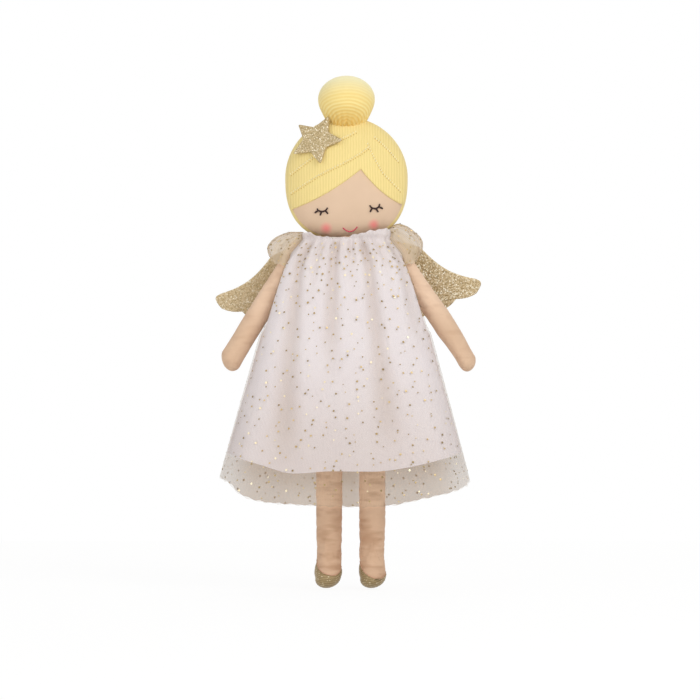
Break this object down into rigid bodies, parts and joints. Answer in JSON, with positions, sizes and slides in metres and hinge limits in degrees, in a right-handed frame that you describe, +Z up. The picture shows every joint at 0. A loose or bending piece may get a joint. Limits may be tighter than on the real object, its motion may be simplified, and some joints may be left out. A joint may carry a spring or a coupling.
{
  "type": "plush angel doll",
  "caption": "Soft upright angel rag doll with stuffed jersey limbs, knitted hair and bun, net dress, glitter felt star, wings and shoes; head, arms, hips, legs and wings move.",
  "frame": {"origin": "middle of the doll's waist, inside the torso, where a hand or a doll stand's clip holds it", "axes": "+Z up through the head, the face looks along -Y, +X to the doll's own left"},
  "size_m": [0.2501, 0.1492, 0.4796],
  "materials": {
    "jersey": "fine cotton jersey in skin tone",
    "rib_knit": "rib-knitted cotton in pale yellow",
    "lining_cloth": "soft pale satin lining",
    "dotted_net": "see-through soft tulle with gold foil dots",
    "sleeve_net": "see-through beige net with gold foil dots",
    "glitter_felt": "gold glitter on felt",
    "filling": "white polyester fibre filling",
    "dark_thread": "dark brown embroidery cotton",
    "pink_thread": "pink embroidery cotton",
    "elastic": "white round hat elastic"
  },
  "bodies": {
    "torso": {"torso_front": "jersey", "torso_back": "jersey", "torso_filling": "filling", "dress_lining": "lining_cloth", "dress_tulle": "dotted_net", "neck_elastic": "elastic", "sleeve_left": "sleeve_net", "sleeve_right": "sleeve_net", "wing_middle": "glitter_felt"},
    "neck": {"neck_stem": "jersey"},
    "head": {"face_panel": "jersey", "head_back": "rib_knit", "head_filling": "filling", "hair_front": "rib_knit", "hair_bun": "rib_knit", "bun_filling": "filling", "star": "glitter_felt", "eye_stitches_right": "dark_thread", "eye_stitches_left": "dark_thread", "mouth_stitches": "pink_thread"},
    "arm_left": {"arm_left": "jersey", "arm_left_filling": "filling"},
    "arm_right": {"arm_right": "jersey", "arm_right_filling": "filling"},
    "hips": {"hip_strip": "jersey"},
    "leg_left": {"leg_left": "jersey", "leg_left_filling": "filling", "shoe_left": "glitter_felt"},
    "leg_right": {"leg_right": "jersey", "leg_right_filling": "filling", "shoe_right": "glitter_felt"},
    "wing_left": {"wing_left": "glitter_felt"},
    "wing_right": {"wing_right": "glitter_felt"}
  },
  "joints": [
    {"name": "head_turn", "type": "hinge", "parent": "torso", "child": "neck", "pos_m": [0, 0, 0.082], "axis": [0, 0, 1], "range_deg": [-25, 25], "stiffness_Nm_per_rad": 0.1},
    {"name": "head_nod", "type": "hinge", "parent": "neck", "child": "head", "pos_m": [0, 0, 0.082], "axis": [1, 0, 0], "range_deg": [-10, 15], "stiffness_Nm_per_rad": 0.4},
    {"name": "arm_left_raise", "type": "hinge", "parent": "torso", "child": "arm_left", "pos_m": [0.0455, 0, 0.071], "axis": [0, -1, 0], "range_deg": [0, 80], "deforming": ["sleeve_left"]},
    {"name": "arm_right_raise", "type": "hinge", "parent": "torso", "child": "arm_right", "pos_m": [-0.0455, 0, 0.071], "axis": [0, 1, 0], "range_deg": [0, 80], "deforming": ["sleeve_right"]},
    {"name": "sit_fold", "type": "hinge", "parent": "torso", "child": "hips", "pos_m": [0, 0, -0.0683], "axis": [-1, 0, 0], "range_deg": [0, 85], "deforming": ["dress_lining", "dress_tulle"]},
    {"name": "leg_left_swing", "type": "hinge", "parent": "hips", "child": "leg_left", "pos_m": [0.02325, 0, -0.0838], "axis": [-1, 0, 0], "range_deg": [-25, 25]},
    {"name": "leg_right_swing", "type": "hinge", "parent": "hips", "child": "leg_right", "pos_m": [-0.01725, 0, -0.0838], "axis": [-1, 0, 0], "range_deg": [-25, 25]},
    {"name": "wing_left_flap", "type": "hinge", "parent": "torso", "child": "wing_left", "pos_m": [0.01273, 0.03732, 0.04007], "axis": [-0.0593, -0.1835, 0.9812], "range_deg": [-6, 40], "stiffness_Nm_per_rad": 0.03},
    {"name": "wing_right_flap", "type": "hinge", "parent": "torso", "child": "wing_right", "pos_m": [-0.01023, 0.03757, 0.03872], "axis": [0.0593, 0.1835, -0.9812], "range_deg": [-6, 40], "stiffness_Nm_per_rad": 0.03}
  ]
}
